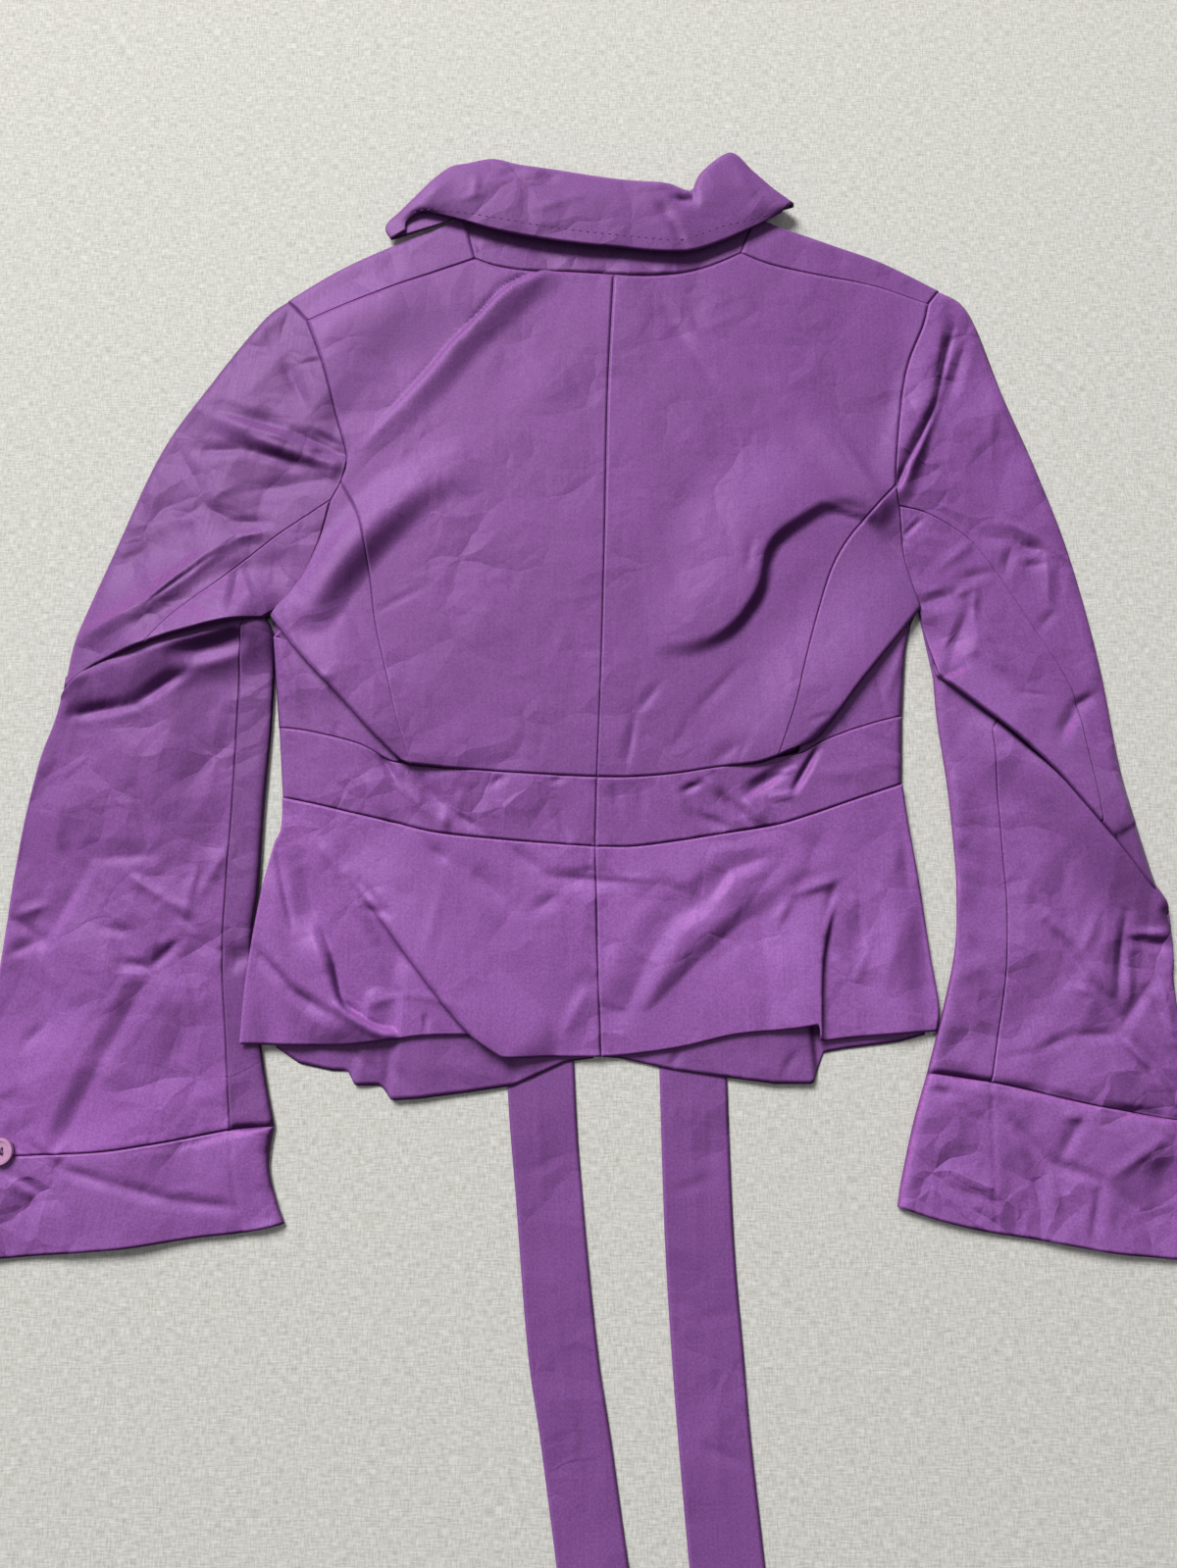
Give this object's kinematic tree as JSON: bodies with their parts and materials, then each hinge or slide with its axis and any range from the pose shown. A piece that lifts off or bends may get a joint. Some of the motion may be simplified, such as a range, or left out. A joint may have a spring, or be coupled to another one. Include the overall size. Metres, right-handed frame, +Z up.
{
  "type": "shawl collar blazer",
  "caption": "Cropped shawl-collar jacket of shot taffeta with a wide waistband, flared peplum, buttoned cuffs and hanging ties, laid out flat with its back up.",
  "frame": {"origin": "centre of the laid-out jacket's box, on the surface it rests on", "axes": "+Z up out of the back, +Y towards the collar, +X towards the wearer's right sleeve"},
  "size_m": [0.7022, 0.8822, 0.0164],
  "materials": {
    "shot_taffeta": "crisp shot taffeta with a soft sheen",
    "button_resin": "polished"
  },
  "bodies": {
    "root": {"collar": "shot_taffeta", "collar_stand": "shot_taffeta", "back_left": "shot_taffeta", "back_right": "shot_taffeta", "side_back_left": "shot_taffeta", "side_back_right": "shot_taffeta", "side_front_left": "shot_taffeta", "side_front_right": "shot_taffeta", "front_left": "shot_taffeta", "front_right": "shot_taffeta", "lapel_left": "shot_taffeta", "lapel_right": "shot_taffeta", "waistband_back_left": "shot_taffeta", "waistband_back_right": "shot_taffeta", "waistband_front_left": "shot_taffeta", "waistband_front_right": "shot_taffeta", "peplum_back_left": "shot_taffeta", "peplum_back_right": "shot_taffeta", "peplum_front_left": "shot_taffeta", "peplum_front_right": "shot_taffeta", "tie_left": "shot_taffeta", "tie_right": "shot_taffeta", "top_sleeve_left": "shot_taffeta", "top_sleeve_right": "shot_taffeta", "under_sleeve_left": "shot_taffeta", "under_sleeve_right": "shot_taffeta", "cuff_left": "shot_taffeta", "cuff_right": "shot_taffeta", "button_left": "button_resin", "button_right": "button_resin"}
  },
  "joints": []
}
